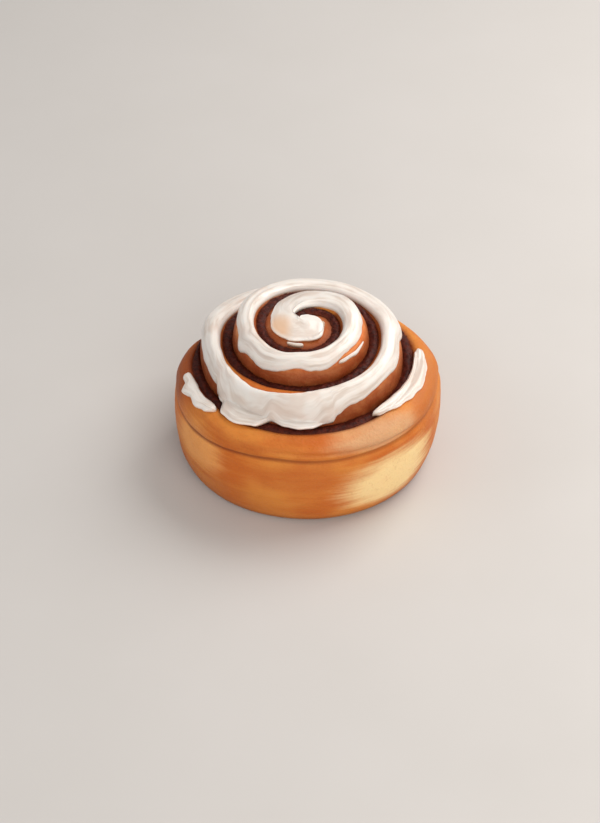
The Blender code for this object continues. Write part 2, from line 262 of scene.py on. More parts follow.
class FoodTree:
    """A Geometry Nodes tree with named inputs for its sizes, which makes one piece of food."""

    def __init__(self, name, sizes):
        self.name = name
        self.sizes = sizes
        self.tree = bpy.data.node_groups.new(name, "GeometryNodeTree")
        self.tree.interface.new_socket("Food", in_out="INPUT", socket_type="NodeSocketGeometry")
        for label in sizes:
            self.tree.interface.new_socket(label, in_out="INPUT", socket_type="NodeSocketFloat")
        self.tree.interface.new_socket("Food", in_out="OUTPUT", socket_type="NodeSocketGeometry")
        self.entry = self.tree.nodes.new("NodeGroupInput")
        self.size = {label: Field(self.entry.outputs[label]) for label in sizes}
        self.food = Field(self.entry.outputs["Food"])

    def node(self, kind, inputs, output=0, **settings):
        """Adds a node and returns one of its outputs."""
        made = self.tree.nodes.new(kind)
        for label, value in settings.items():
            setattr(made, label, value)
        for label, value in inputs.items():
            plug(value, made.inputs[label])
        return Field(made.outputs[output])

    def vector(self, values):
        return self.node("ShaderNodeCombineXYZ", dict(zip("XYZ", values)))

    def axes(self, vector):
        """The three numbers of a vector."""
        return [self.node("ShaderNodeSeparateXYZ", {"Vector": vector}, output) for output in range(3)]

    def attribute(self, label):
        return self.node("GeometryNodeInputNamedAttribute", {"Name": label}, data_type="FLOAT")

    def lay_grid(self, rows, columns):
        """Starts a flat grid and returns the shares along it and across it."""
        self.food = self.node("GeometryNodeMeshGrid", {
            "Size X": 1.0, "Size Y": 1.0, "Vertices X": rows, "Vertices Y": columns})
        along, across, _ = self.axes(self.node("GeometryNodeInputPosition", {}))
        return along + 0.5, across + 0.5

    def note(self, label, value):
        """Keeps a number on each point for the material."""
        self.food = self.node("GeometryNodeStoreNamedAttribute", {
            "Geometry": self.food, "Name": label, "Value": value}, data_type="FLOAT", domain="POINT")

    def shape(self, place):
        """Puts the points in their places and closes the seam."""
        moved = self.node("GeometryNodeSetPosition", {"Geometry": self.food, "Position": self.vector(place)})
        self.food = self.node("GeometryNodeMergeByDistance", {"Geometry": moved, "Distance": MERGE * MM})

    def push(self, relief):
        """Moves the points out along their normals by a relief in millimetres."""
        normal = self.node("GeometryNodeInputNormal", {})
        offset = self.node("ShaderNodeVectorMath", {0: normal, "Scale": relief * MM}, operation="SCALE")
        self.food = self.node("GeometryNodeSetPosition", {"Geometry": self.food, "Offset": offset})

    def grow(self, material, start=None):
        """Ends the tree, runs it once and returns the piece as a plain mesh."""
        smooth = self.node("GeometryNodeSetShadeSmooth", {"Geometry": self.food})
        solid = self.node("GeometryNodeRealizeInstances", {"Geometry": smooth})
        painted = self.node("GeometryNodeSetMaterial", {"Geometry": solid, "Material": material})
        plug(painted, self.tree.nodes.new("NodeGroupOutput").inputs[0])
        piece = bpy.data.objects.new(self.name, start or bpy.data.meshes.new(self.name))
        bpy.context.scene.collection.objects.link(piece)
        modifier = piece.modifiers.new("Growth", "NODES")
        modifier.node_group = self.tree
        for item in self.tree.interface.items_tree:
            if item.in_out == "INPUT" and item.name in self.sizes:
                modifier[item.identifier] = self.sizes[item.name]
        depsgraph = bpy.context.evaluated_depsgraph_get()
        mesh = bpy.data.meshes.new_from_object(
            piece.evaluated_get(depsgraph), preserve_all_data_layers=True, depsgraph=depsgraph)
        piece.modifiers.clear()
        piece.data = mesh
        if start is None:
            close_mesh(mesh)
        return piece


def close_mesh(mesh):
    """Merges doubled points, closes the slits at the ends and turns the faces outwards."""
    work = bmesh.new()
    work.from_mesh(mesh)
    bmesh.ops.remove_doubles(work, verts=work.verts, dist=MERGE * MM)
    bmesh.ops.holes_fill(work, edges=[edge for edge in work.edges if edge.is_boundary], sides=0)
    bmesh.ops.recalc_face_normals(work, faces=work.faces)
    work.to_mesh(mesh)
    work.free()
    mesh.shade_smooth()


def noise(vector, size, detail=2.0, roughness=0.5):
    """Noise from 0 to 1, with lumps of about that size in millimetres."""
    node = vector.socket.id_data.nodes.new("ShaderNodeTexNoise")
    inputs = {"Vector": vector, "Scale": 1.0 / (size * MM), "Detail": detail, "Roughness": roughness}
    for label, value in inputs.items():
        plug(value, node.inputs[label])
    return Field(node.outputs[0])


def paint(code):
    """Linear colour of a six-digit colour code, by the standard curve."""
    shares = [int(code[start:start + 2], 16) / 255.0 for start in (0, 2, 4)]
    linear = [share / 12.92 if share <= 0.04045 else ((share + 0.055) / 1.055) ** 2.4 for share in shares]
    return [*linear, 1.0]


class Finish:
    """A material, with its colour and bump written as fields."""

    def __init__(self, name, **sockets):
        self.material = bpy.data.materials.new(name)
        self.material.use_nodes = True
        self.tree = self.material.node_tree
        self.shader = self.tree.nodes["Principled BSDF"]
        for label, value in sockets.items():
            self.shader.inputs[label.replace("_", " ")].default_value = value
        self.place = Field(self.tree.nodes.new("ShaderNodeTexCoord").outputs["Object"])

    def attribute(self, label):
        node = self.tree.nodes.new("ShaderNodeAttribute")
        node.attribute_name = label
        return Field(node.outputs["Fac"])

    def axes(self):
        node = self.tree.nodes.new("ShaderNodeSeparateXYZ")
        plug(self.place, node.inputs[0])
        return [Field(output) * (1.0 / MM) for output in node.outputs]

    def vector(self, values):
        node = self.tree.nodes.new("ShaderNodeCombineXYZ")
        for value, slot in zip(values, node.inputs):
            plug(value, slot)
        return Field(node.outputs[0])

    def tint(self, first, second, share):
        """Mixes two colours, each a code or a field."""
        node = self.tree.nodes.new("ShaderNodeMix")
        node.data_type = "RGBA"
        plug(share, node.inputs[0])
        for value, slot in ((first, node.inputs[6]), (second, node.inputs[7])):
            plug(paint(value) if isinstance(value, str) else value, slot)
        return Field(node.outputs[2])

    def done(self, colour, roughness, height, depth):
        """Plugs in the colour, the roughness and a bump of that depth in millimetres."""
        plug(colour, self.shader.inputs["Base Color"])
        plug(roughness, self.shader.inputs["Roughness"])
        bump = self.tree.nodes.new("ShaderNodeBump")
        plug(height, bump.inputs["Height"])
        bump.inputs["Distance"].default_value = depth * MM
        plug(Field(bump.outputs[0]), self.shader.inputs["Normal"])
        return self.material


DOUGH_ROWS = 1000
# Columns up the inner side, over the top, down the wall and under the foot
DOUGH_COLUMNS = (4, 42, 30, 4)
INSIDE_CROWN_COLUMNS = 0.25
OUTER_RUN_RADIUS = 50.0
COVER_TURNS = 0.04
FACE_SHARES = (0.30, 0.85)
STAIN_WIDTH = 2.6
BEYOND_STAIN = 100.0
FOOT_INSET = 6.2
# Share of the way down the wall and share of the foot's inset there
WALL_INSETS = ((0.0, 0.242), (0.032, 0.371), (0.087, 0.161), (0.217, 0.048), (0.449, 0.0), (0.71, 0.177),
               (0.884, 0.468), (0.977, 0.758), (1.0, 1.0))
# Baked-in folds: start turn, end turn, height at the start, climb in a turn and depth
FOLDS = ((3.58, 3.82, 34.8, 10.0, 0.55), (3.44, 3.60, 36.4, -10.0, 0.40), (3.66, 3.98, 31.2, -3.0, 0.25))
FOLD_WIDTH = 0.55
FOLD_ENDS = (0.05, 0.08)
# Unevenness of the crust: size of the lumps, detail and height
CRUST_LUMPS = ((24.0, 1.0, 1.1), (8.0, 2.0, 0.35))
WRINKLE_SIZE = 3.5
WRINKLE_HEIGHT = 0.30
WRINKLE_STRETCH = (0.09, 1.0, 0.01)
SMOOTH_FOOT = (0.4, 3.0)


def strip_turns(size, along):
    """Turn numbers that are evenly spaced along the real length of the strip."""
    first, last = size["First turn"], size["Last turn"]
    start, half_pitch = STRIP_SIZES["First radius"], 0.5 * STRIP_SIZES["Pitch"]
    begin = first * start + first * first * half_pitch
    wound = last * start + last * last * half_pitch - begin
    length = along * (wound + OUTER_RUN_RADIUS)
    inside = at_most(length, wound) + begin
    turn = (root(inside * (4.0 * half_pitch) + start * start) - start) / (2.0 * half_pitch)
    return turn + at_least(length - wound, 0.0) / OUTER_RUN_RADIUS


def stretches(across, counts):
    """Shares from 0 to 1 through each stretch of a loop in turn."""
    steps = across * float(sum(counts))
    shares = []
    for index, count in enumerate(counts):
        shares.append(clip((steps - float(sum(counts[:index]))) / float(count)))
    return shares


dough_tree = FoodTree("dough", STRIP_SIZES)
along, across = dough_tree.lay_grid(DOUGH_ROWS, sum(DOUGH_COLUMNS) + 1)
turn = strip_turns(dough_tree.size, along)
strip = Strip(dough_tree.size, turn)
inner_wall, over, wall, floor_share = stretches(across, DOUGH_COLUMNS)
inward = 1.0 - cosine(clip(over / INSIDE_CROWN_COLUMNS) * (0.5 * math.pi))
outward = sine(clip((over - INSIDE_CROWN_COLUMNS) / (1.0 - INSIDE_CROWN_COLUMNS)) * (0.5 * math.pi))
top_share = strip.crown_share * inward + (1.0 - strip.crown_share) * outward
distance, height = strip.top(top_share)
profile = dough_tree.tree.nodes.new("ShaderNodeFloatCurve")
points = profile.mapping.curves[0].points
for point, (x, y) in zip((points[0], points[1]), (WALL_INSETS[0], WALL_INSETS[-1])):
    point.location = (x, y)
for x, y in WALL_INSETS[1:-1]:
    points.new(x, y)
profile.mapping.update()
plug(wall, profile.inputs["Value"])
inset = Field(profile.outputs[0]) * FOOT_INSET - dough_tree.size["Shoulder inset"]
foot = strip.width - strip.inset * FOOT_INSET
distance = distance - inset * strip.inset - foot * floor_share
height = height + strip.inner_top * (inner_wall - 1.0) - strip.outer_top * wall
near_outer = strip.width - distance + strip.free * BEYOND_STAIN
near_inner = distance + (1.0 - strip.opened) * BEYOND_STAIN
dough_tree.note("turn", turn)
dough_tree.note("wall", wall)
last_turn = STRIP_SIZES["Last turn"]
covered = 1.0 - ease(turn, last_turn - COVER_TURNS, last_turn + COVER_TURNS)
dough_tree.note("face", covered * clip(ease(top_share, *FACE_SHARES) + wall))
dough_tree.note("stain", 1.0 - ease(at_most(near_outer, near_inner), 0.0, STAIN_WIDTH))
dough_tree.shape(strip.place(distance, height))
place = dough_tree.node("GeometryNodeInputPosition", {})
x, y, z = dough_tree.axes(place)
turn, wall = dough_tree.attribute("turn"), dough_tree.attribute("wall")
wrinkled = dough_tree.vector([value * stretch for value, stretch in zip((turn, z, wall), WRINKLE_STRETCH)])
broad, fine = ((noise(place, size, detail) - 0.5) * tall for size, detail, tall in CRUST_LUMPS)
relief = broad + fine + (noise(wrinkled, WRINKLE_SIZE) - 0.5) * WRINKLE_HEIGHT
for start, end, level, slope, depth in FOLDS:
    window = ease(turn, start, start + FOLD_ENDS[0]) * (1.0 - ease(turn, end - FOLD_ENDS[1], end))
    across_fold = (z * (1.0 / MM) - level - (turn - start) * slope) / FOLD_WIDTH
    relief = relief - (across_fold * across_fold * -1.0).math("EXPONENT") * window * depth
dough_tree.push(relief * ease(z * (1.0 / MM), *SMOOTH_FOOT))

# Patches on the crust: middle and reach, colour and strength. The first is paler dough where it
# stood against its neighbour in the pan, with a painted highlight on it. The second is painted light
# on the left of the wall, and the third is painted shade low at the front. The fourth is a painted
# highlight on the front of the right shoulder, the fifth is painted shade on the right shoulder and
# the sixth is painted shade on the left shoulder.
CRUST_PATCHES_AND_PAINTED_LIGHT = (
    # Paler dough where it stood against its neighbour in the pan, with a painted highlight from the right
    ((28.0, -33.0, 17.0), (30.0, 24.0, 16.0), "FADA9E", 0.95),
    # Painted light on the left of the wall
    ((-40.0, -26.0, 24.0), (15.0, 22.0, 12.0), "F0A85E", 0.75),
    # Painted shade low at the front of the wall
    ((-4.0, -46.0, 24.0), (24.0, 14.0, 9.0), "B9591C", 0.55),
    # Painted highlight on the front of the right shoulder
    ((25.0, -34.0, 37.5), (28.0, 18.0, 4.8), "CFA982", 0.7),
    # Painted shade on the right shoulder, which the window light reaches
    ((44.0, -10.0, 37.0), (11.0, 26.0, 9.0), "BE6E34", 0.8),
    # Painted shade on the left shoulder, away from the light
    ((-49.0, 2.0, 35.0), (9.0, 22.0, 8.0), "8E3F1C", 0.8),
)
PATCH_EDGE = (0.45, 1.0)
PATCH_WOBBLE = (0.45, 0.4)
# The third colour is painted shade low on the left of the wall, away from the light
GOLDEN, BROWNED, LOW_LEFT_SHADE, CREASE_BROWN_AND_SHADE = "DC8C3A", "C5661F", "B0591F", "7E3610"
FACE_PALE, FACE_BAKED, STAIN, HEART = "EA9A60", "CE6C34", "7C3212", "8E4520"
# The second colour is partly the baked brown of the bottom edge and partly a painted contact shadow
PORES, FOOT_BROWN_AND_SHADOW = "A8561F", "8A4718"
LOW_LEFT_WAY = (-0.7, -0.3)
LOW_LEFT_REACH = (-5.0, 40.0)
LOW_WALL = (0.30, 0.9)
# The crease's colour is partly baked brown and partly painted shade in its groove
CREASE_WALL = 0.035
CREASE_WIDTH = 0.045
CREASE_TURNS = (3.2, 3.4)
CREASE_FADE_X = (-35.0, 40.0)
HEART_SCALE = 0.006
HEART_Y = 4.0
FOOT_BAND = (0.5, 4.5)
BROAD_SIZE, FINE_SIZE, PORE_SIZE = 26.0, 5.0, 0.9
# Streaks and strokes along the strip: how far they are drawn out along it, up it and down the wall
STREAK_SIZE, STREAK_STRETCH = 9.0, (0.10, 1.8 * MM, 0.01)
STROKE_SIZE, STROKE_STRETCH = 7.0, (0.07, 5.0 * MM, 0.01)
CRUST_ROUGHNESS = (0.42, 0.62)
CRUST_BUMP = 0.4

crust = Finish("baked_dough", Subsurface_Weight=0.06, Subsurface_Scale=0.004, Specular_IOR_Level=0.28)
x, y, z = crust.axes()
turn, wall = crust.attribute("turn"), crust.attribute("wall")
face, stain = crust.attribute("face"), crust.attribute("stain")
broad = noise(crust.place, BROAD_SIZE, 2.0)
fine = noise(crust.place, FINE_SIZE, 4.0, 0.6)
streaks, strokes = (
    noise(crust.vector([value * share for value, share in zip((turn, z, wall), stretch)]), size, 4.0, 0.6)
    for stretch, size in ((STREAK_STRETCH, STREAK_SIZE), (STROKE_STRETCH, STROKE_SIZE)))
colour = crust.tint(GOLDEN, BROWNED, ease(broad * 0.55 + streaks * 0.3 + strokes * 0.15, 0.38, 0.62))
# Painted shade low on the left of the wall
low_left_shade = ease(x * LOW_LEFT_WAY[0] + y * LOW_LEFT_WAY[1], *LOW_LEFT_REACH) * ease(wall, *LOW_WALL)
colour = crust.tint(colour, LOW_LEFT_SHADE, low_left_shade * 0.6)
# Lays on the patches: paler dough from the pan, painted highlights, painted light and painted shade
for centre, reach, tint, strength in CRUST_PATCHES_AND_PAINTED_LIGHT:
    away = [(value - middle) / span for value, middle, span in zip((x, y, z), centre, reach)]
    patch = root(sum(share * share for share in away))
    patch = patch + (streaks - 0.5) * PATCH_WOBBLE[0] + (strokes - 0.5) * PATCH_WOBBLE[1]
    colour = crust.tint(colour, tint, (1.0 - ease(patch, *PATCH_EDGE)) * strength)
# Darker along the crease: partly baked brown, partly painted shade in the groove, heavier on the left
crease = 1.0 - ease(size_of(wall - CREASE_WALL + (streaks - 0.5) * 0.03), 0.0, CREASE_WIDTH)
crease = crease * ease(turn, *CREASE_TURNS) * mix(0.85, 0.35, ease(x, *CREASE_FADE_X))
colour = crust.tint(colour, CREASE_BROWN_AND_SHADE, crease)
baked_face = crust.tint(FACE_PALE, FACE_BAKED, ease(strokes * 0.35 + fine * 0.4 + broad * 0.25, 0.36, 0.60))
colour = crust.tint(colour, baked_face, clip(face * (fine * 0.3 + 0.75)))
colour = crust.tint(colour, STAIN, clip(stain * 0.85 + (fine - 0.5) * 0.5 * stain))
heart = root(x * x * HEART_SCALE + (y + HEART_Y) * (y + HEART_Y) * HEART_SCALE)
colour = crust.tint(colour, HEART, (1.0 - ease(heart, 0.7, 1.3)) * face * 0.6)
pores = noise(crust.place, PORE_SIZE, 3.0, 0.6)
colour = crust.tint(colour, PORES, ease(pores * 0.6 + fine * 0.4, 0.50, 0.66) * 0.16)
# Darker at the bottom edge: partly baked brown, partly a painted contact shadow
colour = crust.tint(colour, FOOT_BROWN_AND_SHADOW, (1.0 - ease(z + (fine - 0.5) * 4.0, *FOOT_BAND)) * 0.55)
crust_material = crust.done(colour, mix(*CRUST_ROUGHNESS, fine), pores * 0.8 + strokes * 0.2, CRUST_BUMP)

dough = dough_tree.grow(crust_material)
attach(dough, "root")
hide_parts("dough")

# Filling: butter, brown sugar and cinnamon spread on the dough before it was rolled up, now a dark
# sticky band that fills the slot from the floor to its mouth and swells a little above it.

# Columns up the inner side, over the bead, down the outer side and under the foot
FILLING_COLUMNS = (2, 16, 2, 2)
FILLING_ROWS = 900
# The rows lie closer in the middle, and this share of them is evenly spaced
EVEN_SHARE = 0.1
FILLING_GRIP = 0.25
BEAD_EDGE = 0.4
BEAD_RISE = 0.9
END_TURNS = (0.010, 0.006)
# How far up and down its sides the bead is lumpy
LUMPY_RISE = (0.6, 1.0)
LUMPY_FALL = (0.0, 0.4)
# Its lumps: size, detail, the noise's middle and height
BEAD_LUMPS = ((4.0, 2.0, 0.55, 1.3), (1.3, 1.0, 0.5, 0.7))

filling_sizes = STRIP_SIZES | {"Bead edge": BEAD_EDGE, "Bead rise": BEAD_RISE, "Grip": FILLING_GRIP}
filling_tree = FoodTree("filling", filling_sizes)
along, across = filling_tree.lay_grid(FILLING_ROWS, sum(FILLING_COLUMNS) + 1)
size = filling_tree.size
spread = root(along * along * (1.0 - EVEN_SHARE) + along * EVEN_SHARE)
turn = mix(size["First turn"], size["Last turn"], spread)
strip = Strip(size, turn)
rising, over, falling, floor_share = stretches(across, FILLING_COLUMNS)
sides = strip.slot_sides(turn)
half = (sides[1] - sides[0]) * 0.5 + size["Grip"]
half = half * rounded((size["Last turn"] - turn) / END_TURNS[1])
half = half * rounded((turn - size["First turn"]) / END_TURNS[0])
side = cosine(over * math.pi) * -1.0 + floor_share * -2.0
bead_top = strip.mouth(strip.spiral(turn)) + size["Bead edge"] + (1.0 - side * side) * size["Bead rise"]
height = bead_top * rising * (1.0 - falling)
centre = strip.beside(turn, (sides[0] + sides[1]) * 0.5 + side * half)
filling_tree.note("over", size_of(side))
filling_tree.note("bead", ease(rising, *LUMPY_RISE) * (1.0 - ease(falling, *LUMPY_FALL)))
filling_tree.shape([(centre[0] - ROLL_MIDDLE[0]) * MM, (centre[1] - ROLL_MIDDLE[1]) * MM, height * MM])
place = filling_tree.node("GeometryNodeInputPosition", {})
coarse, small = ((noise(place, size, detail) - middle) * tall for size, detail, middle, tall in BEAD_LUMPS)
filling_tree.push((coarse + small) * filling_tree.attribute("bead"))

SYRUP_DARK, SYRUP_BROWN, SYRUP_EDGE = "380D06", "541C0E", "6B3018"
SYRUP_ROUGHNESS = (0.42, 0.62)
SYRUP_BUMP = 0.25

sticky = Finish("cinnamon_filling", Specular_IOR_Level=0.18, Subsurface_Weight=0.05, Subsurface_Scale=0.002)
fine = noise(sticky.place, 1.6, 4.0, 0.6)
colour = sticky.tint(SYRUP_DARK, SYRUP_BROWN, ease(fine, 0.38, 0.66))
colour = sticky.tint(colour, SYRUP_EDGE, ease(sticky.attribute("over"), 0.55, 1.0) * 0.5)
filling_material = sticky.done(colour, mix(*SYRUP_ROUGHNESS, fine), noise(sticky.place, 0.7, 2.0), SYRUP_BUMP)

filling = filling_tree.grow(filling_material)
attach(filling, "root")
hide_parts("filling")

# Cinnamon sugar: coarse brown grains that didn't melt in the oven. They lie scattered over the top
# of the filling, half sunk in it and turned every way.
GRAIN_SIZES = {"Grain density": 260000.0, "Grain radius": 0.26, "Least scale": 0.4, "Most scale": 1.2}
GRAIN_SEED = 11
FACING_UP = 0.5
ANY_TURN = (6.3, 6.3, 6.3)

grain_tree = FoodTree("filling_grains", GRAIN_SIZES)
size = grain_tree.size
_, _, facing = grain_tree.axes(grain_tree.node("GeometryNodeInputNormal", {}))
upper_side = facing.math("GREATER_THAN", FACING_UP)
spread = grain_tree.node("GeometryNodeDistributePointsOnFaces", {
    "Mesh": grain_tree.food, "Selection": upper_side, "Density": size["Grain density"], "Seed": GRAIN_SEED})
grain = grain_tree.node("GeometryNodeMeshIcoSphere", {"Radius": size["Grain radius"] * MM, "Subdivisions": 1})
grain = grain_tree.node("GeometryNodeSetShadeSmooth", {"Geometry": grain})
scale = grain_tree.node("FunctionNodeRandomValue", {
    2: size["Least scale"], 3: size["Most scale"], "Seed": GRAIN_SEED}, 1, data_type="FLOAT")
spin = grain_tree.node("FunctionNodeRandomValue", {
    0: (0.0, 0.0, 0.0), 1: ANY_TURN, "Seed": GRAIN_SEED}, 0, data_type="FLOAT_VECTOR")
grain_tree.food = grain_tree.node("GeometryNodeInstanceOnPoints", {
    "Points": spread, "Instance": grain, "Rotation": spin, "Scale": scale})

SUGAR_DARK, SUGAR_BROWN = "3A1007", "602410"
SUGAR_ROUGHNESS = (0.45, 0.7)
SUGAR_BUMP = 0.05

sugar = Finish("cinnamon_sugar", Specular_IOR_Level=0.18, Subsurface_Weight=0.1, Subsurface_Scale=0.001)
fine = noise(sugar.place, 0.8, 2.0)
colour = sugar.tint(SUGAR_DARK, SUGAR_BROWN, ease(fine, 0.42, 0.62))
grain_material = sugar.done(colour, mix(*SUGAR_ROUGHNESS, fine), noise(sugar.place, 0.3, 1.0), SUGAR_BUMP)

grains = grain_tree.grow(grain_material, filling.data.copy())
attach(grains, "root")

# Icing: sugar glaze spread warm on the roll with the back of a spoon, along the strip from the
# middle. It has set soft and thick, with rounded rims, spoon marks along it and drips at its edge.
ICING = 2.1
FLECK = 0.9
ICING_LEAN = math.radians(48.0)
# How high it bridges the filling beside it, and the turns in which that starts
ICING_VALLEY = 2.0
VALLEY_TURNS = (0.2, 0.6)
# Turns in which the outer rim and the inner rim become round
CORE_TURNS = (0.07, 0.35)
CLOSING_TURNS = (1.10, 1.35)
# Steps over the top of the strip, inside and outside its crown
INNER_STEPS = 3
OUTER_STEPS = 5
ICING_LIFT = 0.3
ICING_SINK = 0.7
RIM_POWER = 3.4
RIM_ROUNDING = 0.5
ICING_COLUMNS = 34
ICING_BASE_COLUMNS = 10
ICING_SPACING = 0.42
LEVEL_SHARE = 0.3
END_THICKNESS = 0.35
NOISE_GRID = (64, 512)
# Uneven edge: share of the width, length along the strip and row of the noise
EDGE_WOBBLES = ((0.016, 3.8, 0.0), (0.006, 1.7, 7.0))
# Lumps and spoon marks: height, number across the icing and length along it
SWELLS = (0.10, 2.0, 13.0)
SPOON_RIDGES = (0.07, 3.6, 32.0)
SPOON_WANDER = 0.5
SPOON_GRAIN = (0.09, 9.0, 20.0)
# Edges of each piece: turn number, inner edge and outer edge as shares of the strip's width
SWIRL_EDGES = (
    (0.07, 0.00, 0.20), (0.20, 0.00, 0.42), (0.30, 0.00, 0.60), (0.45, 0.00, 0.70), (0.56, 0.00, 0.76),
    (0.66, 0.00, 0.86), (0.76, 0.00, 0.78), (0.85, 0.00, 0.82), (0.94, 0.00, 0.86), (1.02, 0.00, 0.82),
    (1.12, 0.00, 0.84), (1.25, 0.01, 0.88), (1.36, 0.04, 0.84), (1.45, 0.07, 0.72), (1.58, 0.08, 0.72),
    (1.64, 0.12, 0.70), (1.70, 0.18, 0.86), (1.735, 0.18, 0.84),
    (1.77, 0.14, 0.75), (1.82, 0.24, 0.88), (1.86, 0.22, 0.92), (1.90, 0.16, 0.86), (1.935, 0.14, 0.93),
    (1.96, 0.12, 0.76), (2.05, 0.08, 0.74), (2.20, 0.06, 0.80), (2.40, 0.06, 0.84), (2.48, 0.10, 0.92),
    (2.52, 0.10, 0.76), (2.56, 0.14, 0.86), (2.62, 0.22, 0.82), (2.68, 0.18, 0.89), (2.70, 0.19, 0.95),
    (2.72, 0.20, 1.06), (2.745, 0.26, 1.34), (2.76, 0.34, 1.40), (2.78, 0.42, 1.28), (2.803, 0.48, 1.02),
    (2.82, 0.50, 1.72), (2.845, 0.52, 2.00), (2.865, 0.44, 1.86), (2.885, 0.38, 1.22), (2.91, 0.32, 0.92),
    (2.96, 0.14, 0.90), (3.00, 0.08, 0.86), (3.05, 0.06, 0.86), (3.15, 0.10, 0.82), (3.24, 0.14, 0.76),
    (3.28, 0.28, 0.60),
)
RIGHT_DAB_EDGES = (
    (3.487, 0.12, 0.24), (3.500, 0.02, 0.38), (3.525, -0.02, 0.52), (3.555, -0.06, 0.55),
    (3.580, -0.11, 0.48), (3.605, -0.17, 0.34), (3.630, -0.17, 0.14), (3.650, -0.09, -0.01),
)
LEFT_DAB_EDGES = (
    (3.880, 0.16, 0.40), (3.892, 0.10, 0.58), (3.907, 0.16, 0.68), (3.922, 0.14, 0.60), (3.938, 0.06, 0.80),
    (3.947, 0.08, 0.52), (3.956, 0.12, 0.54), (3.963, 0.18, 0.36),
)
CORE_FLECK_EDGES = ((0.760, 0.93, 0.96), (0.780, 0.90, 0.97), (0.820, 0.91, 0.97), (0.840, 0.93, 0.96))
RIGHT_STREAK_EDGES = ((1.560, 0.86, 0.88), (1.590, 0.84, 0.89), (1.640, 0.81, 0.86), (1.665, 0.81, 0.83))


def soft_noise(across, along, seed):
    """Smooth noise from -1 to 1, with a new value at every whole number each way."""
    rows, columns = NOISE_GRID
    values = np.random.default_rng(seed).uniform(-1.0, 1.0, NOISE_GRID)
    across, along = np.broadcast_arrays(across, along)
    row, column = np.floor(across).astype(int), np.floor(along).astype(int)
    down, right = ease(across - row, 0.0, 1.0), ease(along - column, 0.0, 1.0)
    corners = [values[(row + i) % rows, (column + j) % columns] for i in (0, 1) for j in (0, 1)]
    return mix(mix(*corners[:2], right), mix(*corners[2:], right), down)


def edge_shares(edges, turns):
    """Inner and outer edge of the icing, eased between the named places."""
    places, *columns = np.array(edges).T
    before = np.clip(np.searchsorted(places, turns) - 1, 0, len(places) - 2)
    share = ease(turns, places[before], places[before + 1])
    return [mix(column[before], column[before + 1], share) for column in columns]


def share_at(strip, step):
    """Share of the width at a step over the top, with 0 at the crown and steps alike in angle."""
    inner = strip.crown_share * (1.0 - np.cos(0.5 * np.pi * clip(1.0 + step / INNER_STEPS)))
    outer = mix(strip.crown_share, 1.0, np.sin(0.5 * np.pi * clip(step / OUTER_STEPS)))
    return np.where(step < 0.0, inner, outer)


def step_at(strip, share):
    """Step over the top at a share of the width, which goes on past both sides."""
    inner = INNER_STEPS * (np.arccos(clip(1.0 - share / strip.crown_share)) * 2.0 / np.pi - 1.0)
    inner = np.where(share < 0.0, INNER_STEPS * (share / strip.crown_share - 1.0), inner)
    past = (share - strip.crown_share) / (1.0 - strip.crown_share)
    outer = OUTER_STEPS * (np.arcsin(clip(past)) * 2.0 / np.pi + np.maximum(0.0, past - 1.0))
    return np.where(share < strip.crown_share, inner, outer)


def icing_floor(strip, step):
    """Distance and height of the surface under the icing, level over the filling beside it."""
    distance, height = strip.top(share_at(strip, step))
    distance = distance + np.maximum(0.0, step / OUTER_STEPS - 1.0) * (1.0 - strip.crown_share) * strip.width
    distance = distance + np.minimum(0.0, step / INNER_STEPS + 1.0) * strip.crown_share * strip.width
    inner_valley = np.maximum(height, strip.inner_top + ICING_VALLEY * ease(-step, 0.0, INNER_STEPS))
    height = np.where(strip.free == 1.0, inner_valley, height)
    valley = strip.outer_top + ICING_VALLEY * ease(strip.turn, *VALLEY_TURNS)
    bridging = (strip.free == 0.0) & (step > 0.5 * OUTER_STEPS)
    return distance, np.where(bridging, np.maximum(height, valley), height)


